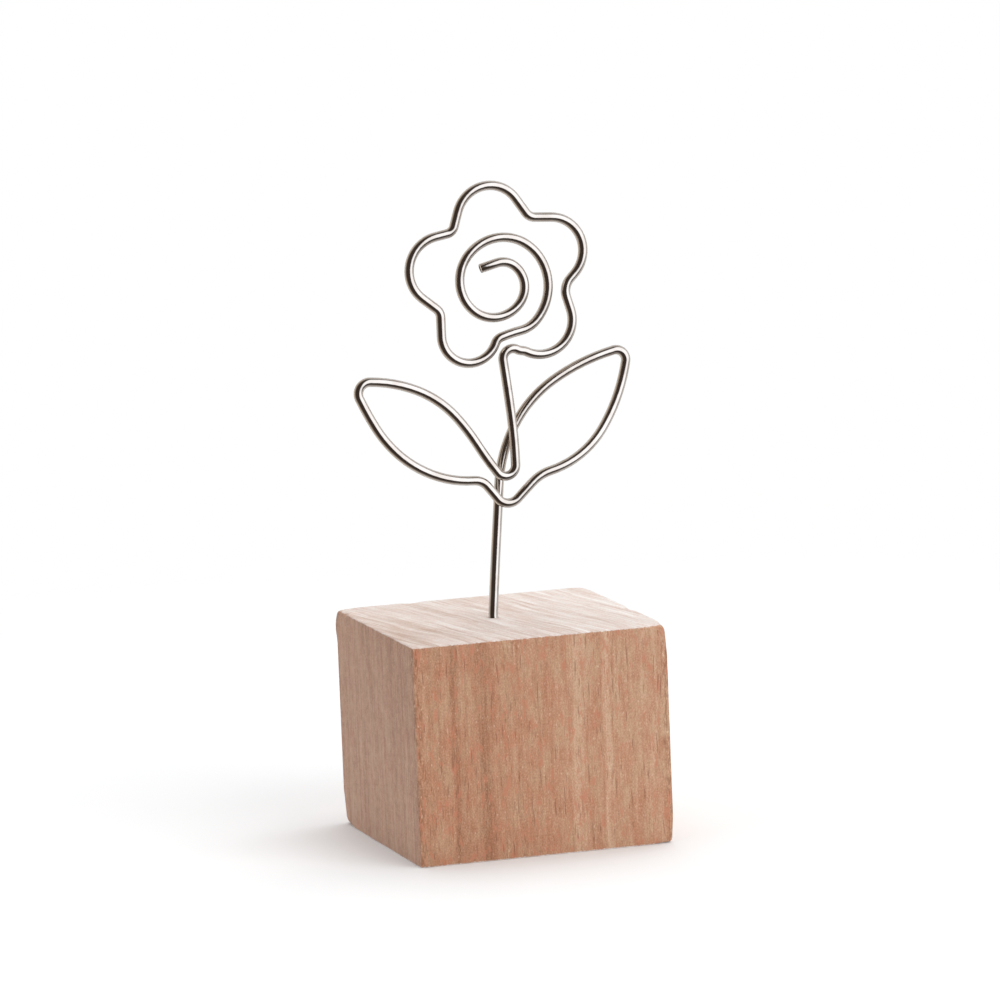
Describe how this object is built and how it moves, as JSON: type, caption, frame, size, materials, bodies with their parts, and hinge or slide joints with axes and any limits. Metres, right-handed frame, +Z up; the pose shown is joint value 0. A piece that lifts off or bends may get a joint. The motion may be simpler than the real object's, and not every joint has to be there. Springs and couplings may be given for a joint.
{
  "type": "photo block holder",
  "caption": "Small wooden block with a bright wire flower on a stem; the flower's flat spiral grips a photo or card, and the wire swivels in the block's drilled hole.",
  "frame": {"origin": "middle of the block's underside, on the surface it stands on", "axes": "+Z up, the block's front and the flower's face towards -Y, +X to the right as seen from the front"},
  "size_m": [0.0333, 0.03, 0.075],
  "materials": {
    "block_wood": "sanded bare wood",
    "wire_nickel": "bright nickel plate"
  },
  "bodies": {
    "base": {"wooden_block": "block_wood"},
    "flower": {"flower_wire": "wire_nickel"}
  },
  "joints": [
    {"name": "wire_swivel", "type": "hinge", "parent": "base", "child": "flower", "pos_m": [-0.0007, 0, 0.025], "axis": [0, 0, 1], "continuous": true}
  ]
}
